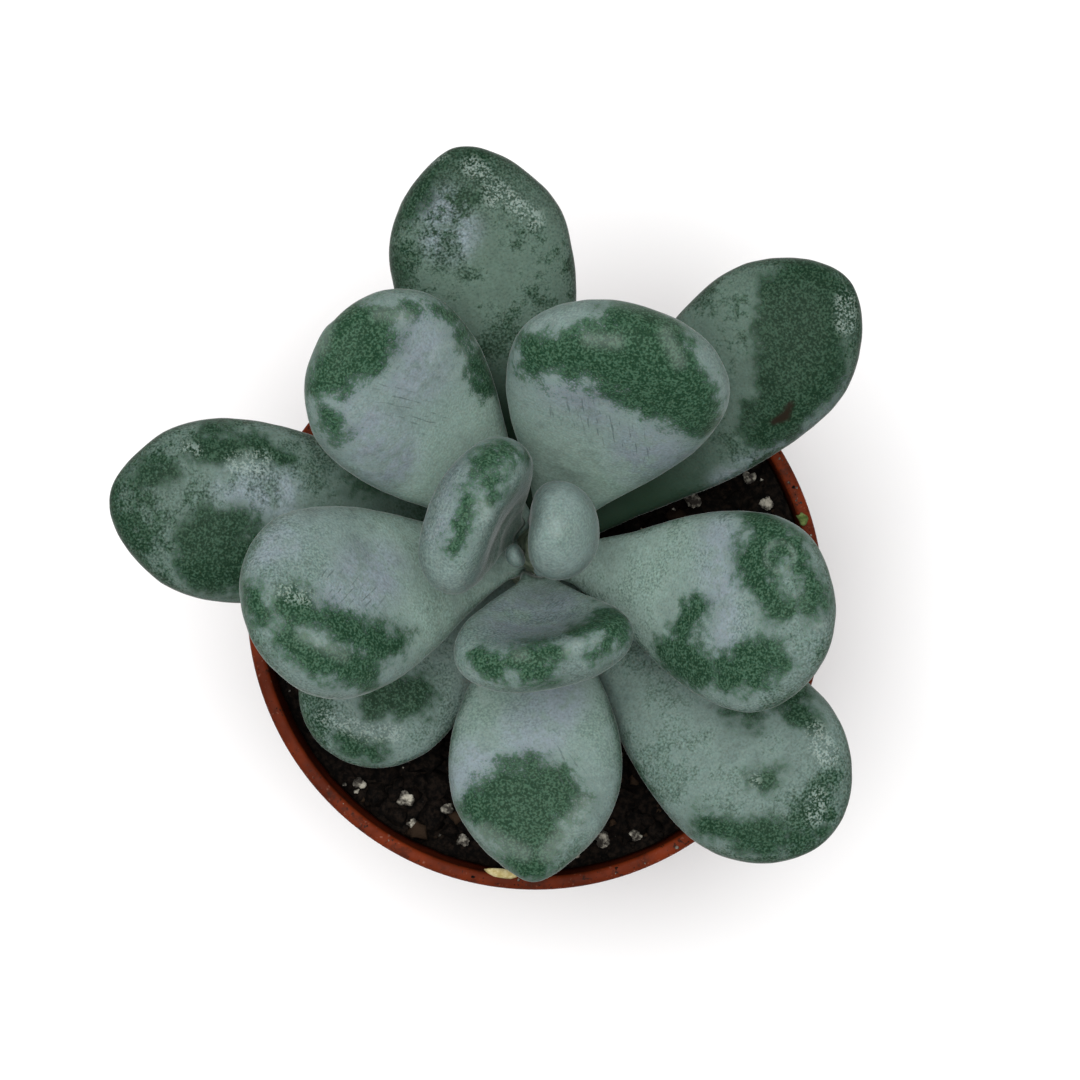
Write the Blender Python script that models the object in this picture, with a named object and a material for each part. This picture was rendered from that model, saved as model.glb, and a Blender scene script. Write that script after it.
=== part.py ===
"""A fat-leaved succulent rosette growing in a small plastic nursery pot.

Metres, +Z up. The origin is the centre of the pot's underside, where it stands on a table.
Every sub-part is one named object: the pot, the potting soil, the stem, each leaf and each
of the larger perlite crumbs that lie on the soil.
"""

import math
from typing import NamedTuple

import bmesh
import bpy
from mathutils import Matrix, Vector, noise

MM = 0.001
GAP = 0.3 * MM  # kept between neighbours that touch on the real plant

# Pot: a 5.5 cm nursery pot, thin injection-moulded plastic.
POT_HEIGHT = 49 * MM
RIM_RADIUS = 27.5 * MM  # outside of the lip
LIP_WIDTH = 1.3 * MM
LIP_DEPTH = 2.0 * MM
WALL = 0.8 * MM
COLLAR_HEIGHT = 8.0 * MM  # the stiffening band below the lip
COLLAR_DRAFT = 0.2 * MM  # how much narrower the collar is at its foot
COLLAR_STEP = 0.9 * MM
FOOT_RADIUS = 18.5 * MM
FOOT_WIDTH = 2.2 * MM
FOOT_HEIGHT = 0.8 * MM
FLOOR = 1.0 * MM
ROUND = 0.35 * MM  # the pot's small edge roundings
PAD_RADIUS = 5.5 * MM  # flat pad in the middle of the underside
DRAIN_COUNT = 6
DRAIN_RADIUS = 2.1 * MM
DRAIN_CIRCLE = 11.0 * MM
POT_SEGMENTS = 56

# Soil
SOIL_TOP = 45.5 * MM
SOIL_SLOPE = 0.05  # it is heaped towards +X
SOIL_RELIEF = 0.7 * MM
SOIL_LUMP = 7.0 * MM  # size of the surface's gentle lumps
SOIL_GAP = 1.5 * GAP  # allows for the flats of the pot's polygon
SOIL_RINGS = 8
SOIL_SEGMENTS = 36

# Stem: a short leaning stalk whose foot is buried in the soil.
STEM_FOOT = Vector((0.2, 2.4, 33.0)) * MM
STEM_TIP = Vector((0.4, 5.4, 66.0)) * MM
STEM_FOOT_RADIUS = 4.2 * MM
STEM_TAPER = 0.3  # share of the foot's radius left at the tip
STEM_RINGS = 12
STEM_SEGMENTS = 16

# Leaf mesh
LEAF_RINGS = 13
LEAF_SEGMENTS = 14
LEAF_STEPS = 24  # along the midline's curve
NECK_WIDTH = 0.22  # a leaf's base as a share of its full width
NECK_DEPTH = 0.32  # and of its full thickness
UPPER_SHARE = 0.44  # how much of the thickness lies above the midline
TIP_TAPER = 0.55  # how much an acute tip narrows on a round one


class Leaf(NamedTuple):
    """One leaf, in millimetres and degrees.

    azimuth is counted from +X towards +Y, height is where it leaves the stem, pitch is its
    slope there and curl how much steeper it gets towards its tip. swing turns it sideways
    along its length and roll raises its left side. belly is where along its length it is
    widest, point is 0 for a round end and 1 for an acute one, cup hollows its upper face.
    """

    name: str
    azimuth: float
    height: float
    pitch: float
    curl: float
    length: float
    width: float
    thickness: float
    swing: float = 0.0
    roll: float = 0.0
    belly: float = 0.7
    point: float = 0.2
    cup: float = 0.1


LEAVES = (
    Leaf("outer_leaf_1", 101, 55.0, 6, 14, 36.0, 17.4, 11.0, point=0.55),
    Leaf("outer_leaf_2", 42, 54.0, 6, 12, 35.8, 16.8, 10.5, point=0.40),
    Leaf("outer_leaf_3", 169, 53.5, 6, 12, 37.4, 17.6, 11.0, swing=8, point=0.35),
    Leaf("outer_leaf_4", 219, 50.5, 2, 6, 23.4, 15.5, 9.0, belly=0.66, point=0.0),
    Leaf("outer_leaf_5", 269, 56.5, 6, 14, 27.8, 16.6, 10.5, belly=0.60, point=0.75),
    Leaf("outer_leaf_6", 317, 52.5, 4, 10, 34.5, 18.6, 11.0, swing=-3, point=0.15),
    Leaf("middle_leaf_1", 131, 58.5, 32, 14, 30.2, 17.8, 10.0, roll=12, point=0.10),
    Leaf("middle_leaf_2", 65, 60.5, 38, 18, 27.4, 20.6, 11.0, roll=12, point=0.10),
    Leaf("middle_leaf_3", 194, 60.5, 32, 16, 29.8, 18.2, 10.5, roll=10, point=0.15),
    Leaf("middle_leaf_4", 345, 58.5, 26, 14, 28.2, 18.6, 10.5, swing=-3, roll=8, point=0.40),
    Leaf("inner_leaf_1", 153, 64.0, 75, 8, 20.0, 15.4, 8.4, belly=0.74, point=0.0, cup=0.6),
    Leaf("inner_leaf_2", 34, 65.0, 90, 11, 15.0, 9.3, 6.8, swing=-50, belly=0.66, cup=0.1),
    Leaf("inner_leaf_3", 270, 62.5, 61, 8, 17.6, 16.6, 7.8, swing=12, belly=0.72, point=0.0, cup=0.9),
    Leaf("bud_leaf_1", 204, 65.6, 82, 6, 5.8, 2.6, 2.1),
    Leaf("bud_leaf_2", 280, 65.6, 82, 6, 4.6, 2.2, 1.7),
)

# The larger perlite crumbs: azimuth in degrees, distance from the pot's axis and radius in
# millimetres. Water washes most of them to the wall.
CRUMBS = (
    (286, 23.8, 1.0),
    (293, 24.4, 0.8),
    (279, 24.4, 0.7),
    (253, 24.0, 0.8),
    (241, 24.4, 0.7),
    (237, 22.6, 1.0),
    (226, 24.2, 0.8),
    (247, 21.6, 0.7),
    (33, 18.0, 1.1),
    (23, 24.0, 0.9),
    (30, 23.6, 0.8),
    (78, 22.5, 0.9),
    (112, 19.5, 0.8),
    (146, 23.5, 1.0),
    (184, 21.0, 0.7),
    (338, 20.5, 0.9),
)


def clear_scene():
    for existing in list(bpy.data.objects):
        bpy.data.objects.remove(existing)


def material(name, color, roughness):
    made = bpy.data.materials.new(name)
    made.use_nodes = True
    shader = made.node_tree.nodes["Principled BSDF"]
    shader.inputs["Base Color"].default_value = (*color, 1)
    shader.inputs["Roughness"].default_value = roughness
    shader.inputs["Metallic"].default_value = 0
    return made


def add_object(name, mesh_edit, surface):
    """Turns a bmesh into a named, smooth-shaded object with one material."""
    bmesh.ops.recalc_face_normals(mesh_edit, faces=mesh_edit.faces)
    mesh = bpy.data.meshes.new(name)
    mesh_edit.to_mesh(mesh)
    mesh_edit.free()
    mesh.shade_smooth()
    mesh.set_sharp_from_angle(angle=math.radians(40))
    mesh.materials.append(surface)
    made = bpy.data.objects.new(name, mesh)
    bpy.context.scene.collection.objects.link(made)
    return made


def skin(mesh_edit, rings, last_pole=None):
    """Joins rings of points with quads and closes the ends, flat or with a pole."""
    loops = [[mesh_edit.verts.new(point) for point in ring] for ring in rings]
    count = len(loops[0])
    for lower, upper in zip(loops, loops[1:]):
        for i in range(count):
            j = (i + 1) % count
            mesh_edit.faces.new((lower[i], lower[j], upper[j], upper[i]))
    mesh_edit.faces.new(loops[0])
    if last_pole is None:
        mesh_edit.faces.new(loops[-1])
        return
    tip = mesh_edit.verts.new(last_pole)
    for i in range(count):
        mesh_edit.faces.new((loops[-1][i], loops[-1][(i + 1) % count], tip))


def cut(target, cutter):
    """Subtracts a helper object that is itself left out of the model."""
    cutter.hide_render = True
    cutter.display_type = "WIRE"
    difference = target.modifiers.new("cut_" + cutter.name, "BOOLEAN")
    difference.operation = "DIFFERENCE"
    difference.object = cutter


def circle(radius, height, count):
    step = 2 * math.pi / count
    return [
        Vector((radius * math.cos(i * step), radius * math.sin(i * step), height))
        for i in range(count)
    ]


def blend(start, end, share):
    return start + (end - start) * share


# ---------------------------------------------------------------- pot

SHOULDER = POT_HEIGHT - COLLAR_HEIGHT
FLOOR_TOP = FOOT_HEIGHT + FLOOR
COLLAR_INSIDE = RIM_RADIUS - LIP_WIDTH - COLLAR_DRAFT


def wall_radius(height):
    """Outside radius of the tapering wall, below the collar."""
    return blend(FOOT_RADIUS, COLLAR_INSIDE + WALL - COLLAR_STEP, height / SHOULDER)


def outside_profile():
    """(radius, height) points from the pad under the pot, out and up to the lip."""
    return [
        (PAD_RADIUS, 0),
        (PAD_RADIUS + FOOT_HEIGHT / 2, FOOT_HEIGHT),
        (FOOT_RADIUS - FOOT_WIDTH, FOOT_HEIGHT),
        (FOOT_RADIUS - FOOT_WIDTH, 0),
        (FOOT_RADIUS - ROUND, 0),
        (FOOT_RADIUS, ROUND),
        (wall_radius(SHOULDER), SHOULDER),
        (COLLAR_INSIDE + WALL, SHOULDER + ROUND),
        (COLLAR_INSIDE + WALL + COLLAR_DRAFT, POT_HEIGHT - LIP_DEPTH),
        (RIM_RADIUS - ROUND, POT_HEIGHT - LIP_DEPTH),
        (RIM_RADIUS, POT_HEIGHT - LIP_DEPTH + ROUND),
        (RIM_RADIUS, POT_HEIGHT - ROUND),
    ]


def inside_profile():
    """(radius, height) points over the lip and down to the pot's floor."""
    return [
        (RIM_RADIUS - ROUND, POT_HEIGHT),
        (RIM_RADIUS - LIP_WIDTH + ROUND, POT_HEIGHT),
        (RIM_RADIUS - LIP_WIDTH, POT_HEIGHT - ROUND),
        (COLLAR_INSIDE, SHOULDER + 2 * ROUND),
        (wall_radius(SHOULDER) - WALL, SHOULDER - ROUND),
        (wall_radius(FLOOR_TOP) - WALL, FLOOR_TOP),
    ]


def drain_cutter(index, plastic):
    angle = 2 * math.pi * (index + 0.5) / DRAIN_COUNT
    hole = bmesh.new()
    rings = [circle(DRAIN_RADIUS, height, 16) for height in (-FLOOR, FLOOR_TOP + FLOOR)]
    skin(hole, rings)
    cutter = add_object(f"drain_cutter_{index + 1}", hole, plastic)
    cutter.location = (DRAIN_CIRCLE * math.cos(angle), DRAIN_CIRCLE * math.sin(angle), 0)
    return cutter


def make_pot(plastic):
    outline = bmesh.new()
    profile = outside_profile() + inside_profile()
    skin(outline, [circle(radius, height, POT_SEGMENTS) for radius, height in profile])
    pot = add_object("nursery_pot", outline, plastic)
    for index in range(DRAIN_COUNT):
        cut(pot, drain_cutter(index, plastic))


# ---------------------------------------------------------------- soil


def inner_radius(height):
    """Inside radius of the pot at a height, found on its inside profile."""
    inside = inside_profile()
    for (r_high, z_high), (r_low, z_low) in zip(inside, inside[1:]):
        if z_low < height <= z_high:
            return blend(r_low, r_high, (height - z_low) / (z_high - z_low))
    return inside[-1][0]


def soil_height(x, y):
    """Height of the soil's surface: gentle lumps, heaped towards +X."""
    lumps = noise.fractal(Vector((x, y, 0)) / SOIL_LUMP, 1.0, 2.0, 3)
    return SOIL_TOP + SOIL_RELIEF * lumps + SOIL_SLOPE * x


def make_soil(surface):
    side_heights = (FLOOR_TOP + GAP, SHOULDER - ROUND, SHOULDER + 2 * ROUND)
    rings = [circle(inner_radius(z) - SOIL_GAP, z, SOIL_SEGMENTS) for z in side_heights]
    edge = inner_radius(SOIL_TOP) - SOIL_GAP
    for i in range(SOIL_RINGS):
        level = circle(edge * (1 - i / SOIL_RINGS), 0, SOIL_SEGMENTS)
        rings.append([Vector((p.x, p.y, soil_height(p.x, p.y))) for p in level])
    ground = bmesh.new()
    skin(ground, rings, last_pole=Vector((0, 0, soil_height(0, 0))))
    soil = add_object("potting_soil", ground, surface)
    socket = bmesh.new()
    skin(socket, stem_rings(GAP))
    cut(soil, add_object("stem_socket_cutter", socket, surface))


def crumb_mesh(radius, seed):
    """A squashed and roughened icosphere."""
    crumb = bmesh.new()
    bmesh.ops.create_icosphere(crumb, subdivisions=1, radius=radius)
    for vert in crumb.verts:
        vert.co *= 1 + 0.25 * noise.noise(vert.co / radius + Vector((seed, 0, 0)))
        vert.co.z *= 0.75
    return crumb


def make_perlite(surface):
    for number, (azimuth, distance, radius) in enumerate(CRUMBS, start=1):
        x = distance * MM * math.cos(math.radians(azimuth))
        y = distance * MM * math.sin(math.radians(azimuth))
        crumb = crumb_mesh(radius * MM, 7 * number)
        below = [vert.co for vert in crumb.verts if vert.co.z < 0]
        rest = max(soil_height(x + point.x, y + point.y) - point.z for point in below)
        add_object(f"perlite_crumb_{number:02d}", crumb, surface).location = (x, y, rest + GAP)


# ---------------------------------------------------------------- stem


def stem_share(height):
    return (height - STEM_FOOT.z) / (STEM_TIP.z - STEM_FOOT.z)


def stem_radius(height):
    """Nearly even along the stalk, then drawn in quickly to the growing tip."""
    return STEM_FOOT_RADIUS * (1 - (1 - STEM_TAPER) * stem_share(height) ** 2)


def stem_rings(grown=0.0):
    """Level rings up the stem, its radius grown by a margin."""
    rings = []
    for i in range(STEM_RINGS + 1):
        height = blend(STEM_FOOT.z, STEM_TIP.z, i / STEM_RINGS)
        centre = STEM_FOOT.lerp(STEM_TIP, i / STEM_RINGS)
        if i == 0:
            centre.z -= grown
        ring = circle(stem_radius(height) + grown, 0, STEM_SEGMENTS)
        rings.append([centre + point for point in ring])
    return rings


def make_stem(surface):
    stalk = bmesh.new()
    skin(stalk, stem_rings(), last_pole=STEM_TIP + Vector((0, 0, 0.5 * MM)))
    add_object("stem", stalk, surface)


# ---------------------------------------------------------------- leaves


def leaf_outline(share, belly, neck, point):
    """Half-width at a share of the leaf's length, as a share of its greatest half-width."""
    if share < belly:
        return blend(neck, 1, math.sin(share / belly * math.pi / 2) ** 1.35)
    beyond = (share - belly) / (1 - belly)
    return math.sqrt(1 - beyond**2) * (1 - TIP_TAPER * point * beyond**3)


def leaf_direction(leaf, share):
    """The way the midline runs at a share of its length, and its heading."""
    heading = math.radians(leaf.azimuth + leaf.swing * share)
    slope = math.radians(leaf.pitch + leaf.curl * share)
    level = Vector((math.cos(heading), math.sin(heading), 0))
    return level * math.cos(slope) + Vector((0, 0, math.sin(slope))), heading


def leaf_frame(leaf, share):
    """Centre, side and up vectors of a leaf at a share of its length."""
    height = leaf.height * MM
    azimuth = math.radians(leaf.azimuth)
    neck_rise = UPPER_SHARE * NECK_DEPTH * leaf.thickness * MM * math.sin(math.radians(leaf.pitch))
    reach = stem_radius(height) + GAP + neck_rise
    centre = STEM_FOOT.lerp(STEM_TIP, stem_share(height))
    centre += Vector((math.cos(azimuth), math.sin(azimuth), 0)) * reach
    for i in range(LEAF_STEPS):
        step, _ = leaf_direction(leaf, share * (i + 0.5) / LEAF_STEPS)
        centre += step * (leaf.length * MM * share / LEAF_STEPS)
    forward, heading = leaf_direction(leaf, share)
    side = Vector((-math.sin(heading), math.cos(heading), 0))
    side.rotate(Matrix.Rotation(math.radians(leaf.roll), 3, forward))
    return centre, side, forward.cross(side)


def section_lift(leaf, share, across, turn):
    """Height of the cross-section over its midline, as a share of the leaf's thickness."""
    if turn <= 0:
        return turn * (1 - UPPER_SHARE)
    hollow = leaf.cup * (1 - share**4) * (1 - across**2) ** 2
    return UPPER_SHARE * (turn**0.85 - hollow)


def leaf_ring(leaf, share, count):
    """Points round a leaf's cross-section: a rounded back below, a flatter face above."""
    centre, side, up = leaf_frame(leaf, share)
    half_width = 0.5 * leaf.width * MM * leaf_outline(share, leaf.belly, NECK_WIDTH, leaf.point)
    depth = leaf.thickness * MM * leaf_outline(share, leaf.belly - 0.06, NECK_DEPTH, leaf.point / 2)
    ring = []
    for i in range(count):
        angle = 2 * math.pi * i / count
        across = math.copysign(abs(math.cos(angle)) ** 0.9, math.cos(angle))
        lift = section_lift(leaf, share, across, math.sin(angle))
        ring.append(centre + side * (half_width * across) + up * (depth * lift))
    return ring


def make_leaf(leaf, surface):
    shares = [math.sin(i / LEAF_RINGS * math.pi / 2) ** 1.2 for i in range(LEAF_RINGS)]
    body = bmesh.new()
    tip, _, _ = leaf_frame(leaf, 1.0)
    skin(body, [leaf_ring(leaf, share, LEAF_SEGMENTS) for share in shares], last_pole=tip)
    add_object(leaf.name, body, surface)


def main():
    clear_scene()
    make_pot(material("terracotta_plastic", (0.26, 0.045, 0.016), 0.5))
    make_soil(material("peat_soil", (0.02, 0.014, 0.01), 0.95))
    make_perlite(material("perlite", (0.55, 0.53, 0.48), 0.9))
    make_stem(material("stem_bark", (0.22, 0.24, 0.16), 0.7))
    leaf_skin = material("leaf_skin", (0.2, 0.27, 0.25), 0.55)
    for leaf in LEAVES:
        make_leaf(leaf, leaf_skin)


main()
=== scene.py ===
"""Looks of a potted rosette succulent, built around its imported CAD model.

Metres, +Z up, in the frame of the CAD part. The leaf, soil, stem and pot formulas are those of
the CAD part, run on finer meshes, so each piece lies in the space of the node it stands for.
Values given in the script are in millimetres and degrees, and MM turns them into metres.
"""

import math
import random
from typing import NamedTuple

import bmesh
import bpy
import numpy as np
from mathutils import Matrix, Quaternion, Vector, noise


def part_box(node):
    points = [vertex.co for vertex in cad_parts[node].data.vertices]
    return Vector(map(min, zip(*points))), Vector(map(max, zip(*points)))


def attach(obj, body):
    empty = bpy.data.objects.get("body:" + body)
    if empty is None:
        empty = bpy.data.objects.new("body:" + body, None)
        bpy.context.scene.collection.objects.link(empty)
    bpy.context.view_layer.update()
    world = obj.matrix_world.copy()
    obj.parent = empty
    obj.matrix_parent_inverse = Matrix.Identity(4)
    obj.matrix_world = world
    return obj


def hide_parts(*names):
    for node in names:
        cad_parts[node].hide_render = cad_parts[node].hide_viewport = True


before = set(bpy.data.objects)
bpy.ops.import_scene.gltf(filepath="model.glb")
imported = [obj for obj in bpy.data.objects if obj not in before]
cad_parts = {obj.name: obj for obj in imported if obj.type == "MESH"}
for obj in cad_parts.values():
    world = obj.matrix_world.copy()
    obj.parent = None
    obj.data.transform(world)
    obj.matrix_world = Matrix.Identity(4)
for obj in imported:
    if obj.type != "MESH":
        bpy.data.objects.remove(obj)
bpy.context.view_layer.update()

MM = 0.001

# Pot
POT_HEIGHT = 49 * MM
RIM_RADIUS = 27.5 * MM
LIP_WIDTH = 1.3 * MM
LIP_DEPTH = 2.0 * MM
WALL = 0.8 * MM
COLLAR_HEIGHT = 8.0 * MM
COLLAR_DRAFT = 0.2 * MM
COLLAR_STEP = 0.9 * MM
FOOT_RADIUS = 18.5 * MM
FOOT_WIDTH = 2.2 * MM
FOOT_HEIGHT = 0.8 * MM
FLOOR = 1.0 * MM
ROUND = 0.35 * MM
PAD_RADIUS = 5.5 * MM
DRAIN_COUNT = 6
DRAIN_RADIUS = 2.1 * MM
DRAIN_CIRCLE = 11.0 * MM
POT_SEGMENTS = 192
FILLET_STEPS = 5
SHOULDER = POT_HEIGHT - COLLAR_HEIGHT
FLOOR_TOP = FOOT_HEIGHT + FLOOR
COLLAR_INSIDE = RIM_RADIUS - LIP_WIDTH - COLLAR_DRAFT

# Soil
SOIL_TOP = 45.5 * MM
SOIL_SLOPE = 0.05
SOIL_RELIEF = 0.7 * MM
SOIL_LUMP = 7.0 * MM
SOIL_GAP = 0.15 * MM
CLOD_RELIEF = 0.8 * MM
CLOD_SIZE = 1.6 * MM
SOIL_RINGS = 70
SOIL_SEGMENTS = 240

# Bits lying about: azimuth in degrees, distance from the axis and height, then their sizes
HUSK_PLACE = (263, 26.1, 49.1)
HUSK_SIZE = (2.8, 1.0, 0.8)
MOSS_PLACE = (17, 26.6, 49.1)
MOSS_SIZE = (1.3, 0.9, 0.8)
FIBRE_COUNT = 26
FIBRE_STEPS = 9
FIBRE_STEP = 0.5 * MM
FIBRE_RADIUS = 0.07 * MM
FIBRE_SIDES = 6
FIBRE_LIFT = 0.35 * MM
FIBRE_BEND = 0.25  # most that a fibre turns at each step, in radians

# Stem
STEM_FOOT = Vector((0.2, 2.4, 33.0)) * MM
STEM_TIP = Vector((0.4, 5.4, 66.0)) * MM
STEM_FOOT_RADIUS = 4.2 * MM
STEM_TAPER = 0.3
STEM_RINGS = 90
STEM_SEGMENTS = 64
BARK_RELIEF = 0.12 * MM
BARK_LUMP = 1.6 * MM
STEM_CROWN = 0.5 * MM

# Leaf mesh
LEAF_RINGS = 150
LEAF_SEGMENTS = 132
LEAF_STEPS = 24
LEAF_GAP = 0.3 * MM
LEAF_ROOT = 1.2 * MM  # how far a leaf's base runs on into the stem
NECK_WIDTH = 0.22
NECK_DEPTH = 0.32
UPPER_SHARE = 0.44
TIP_TAPER = 0.55
SKIN_INSET = 0.2 * MM  # keeps the lumps within 0.1 mm of the CAD box

# Leaf relief and wear, in millimetres
LUMP_SIZE = 4.0
LUMP_RELIEF = 0.10
DIMPLE_SIZE = 1.5
DIMPLE_RELIEF = 0.04
RIDGE_RELIEF = 0.18
SMALL_LEAF = 8.0  # narrower leaves than this have lower lumps
HIDDEN_PATCH = 6.0  # size of the rubbed patches on a leaf's underside
HIDDEN_SPREAD = 4.0
HIDDEN_SHORTFALL = 1.2
UNWORN = -4.0  # depth given to places that lie in no mark
PATTERN_SHIFT = 40.0  # keeps the leaves' noise patterns apart


class Leaf(NamedTuple):
    """One leaf, in millimetres and degrees, as in the CAD part."""

    name: str
    azimuth: float
    height: float
    pitch: float
    curl: float
    length: float
    width: float
    thickness: float
    swing: float = 0.0
    roll: float = 0.0
    belly: float = 0.7
    point: float = 0.2
    cup: float = 0.1


LEAVES = (
    Leaf("outer_leaf_1", 101, 55.0, 6, 14, 36.0, 17.4, 11.0, point=0.55),
    Leaf("outer_leaf_2", 42, 54.0, 6, 12, 35.8, 16.8, 10.5, point=0.40),
    Leaf("outer_leaf_3", 169, 53.5, 6, 12, 37.4, 17.6, 11.0, swing=8, point=0.35),
    Leaf("outer_leaf_4", 219, 50.5, 2, 6, 23.4, 15.5, 9.0, belly=0.66, point=0.0),
    Leaf("outer_leaf_5", 269, 56.5, 6, 14, 27.8, 16.6, 10.5, belly=0.60, point=0.75),
    Leaf("outer_leaf_6", 317, 52.5, 4, 10, 34.5, 18.6, 11.0, swing=-3, point=0.15),
    Leaf("middle_leaf_1", 131, 58.5, 32, 14, 30.2, 17.8, 10.0, roll=12, point=0.10),
    Leaf("middle_leaf_2", 65, 60.5, 38, 18, 27.4, 20.6, 11.0, roll=12, point=0.10),
    Leaf("middle_leaf_3", 194, 60.5, 32, 16, 29.8, 18.2, 10.5, roll=10, point=0.15),
    Leaf("middle_leaf_4", 345, 58.5, 26, 14, 28.2, 18.6, 10.5, swing=-3, roll=8, point=0.40),
    Leaf("inner_leaf_1", 153, 64.0, 75, 8, 20.0, 15.4, 8.4, belly=0.74, point=0.0, cup=0.6),
    Leaf("inner_leaf_2", 34, 65.0, 90, 11, 15.0, 9.3, 6.8, swing=-50, belly=0.66, cup=0.1),
    Leaf("inner_leaf_3", 270, 62.5, 61, 8, 17.6, 16.6, 7.8, swing=12, belly=0.72, point=0.0, cup=0.9),
    Leaf("bud_leaf_1", 204, 65.6, 82, 6, 5.8, 2.6, 2.1),
    Leaf("bud_leaf_2", 280, 65.6, 82, 6, 4.6, 2.2, 1.7),
)


class Marks(NamedTuple):
    """What has happened to one leaf's waxy bloom.

    Each mark is a line of (along, left, radius) points in millimetres, seen from above: along
    runs level from the leaf's base towards its tip, and left is to the left of that line.
    worn marks bare the green skin, powder is thick white wax, violet is smooth lavender wax,
    scuffs are fields of short scratches, ridge marks are low raised folds that also carry a
    painted highlight, and scars are brown scratches. drops are the round marks of dried water,
    each one an (along, left, radius).
    grit is how far the whole leaf's bloom has broken up into grains, and age runs from 0
    inside to 1 outside.
    """

    worn: tuple = ()
    powder: tuple = ()
    violet: tuple = ()
    scuffs: tuple = ()
    ridges_and_highlights: tuple = ()
    scars: tuple = ()
    drops: tuple = ()
    grit: float = 0.4
    age: float = 0.5


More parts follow.
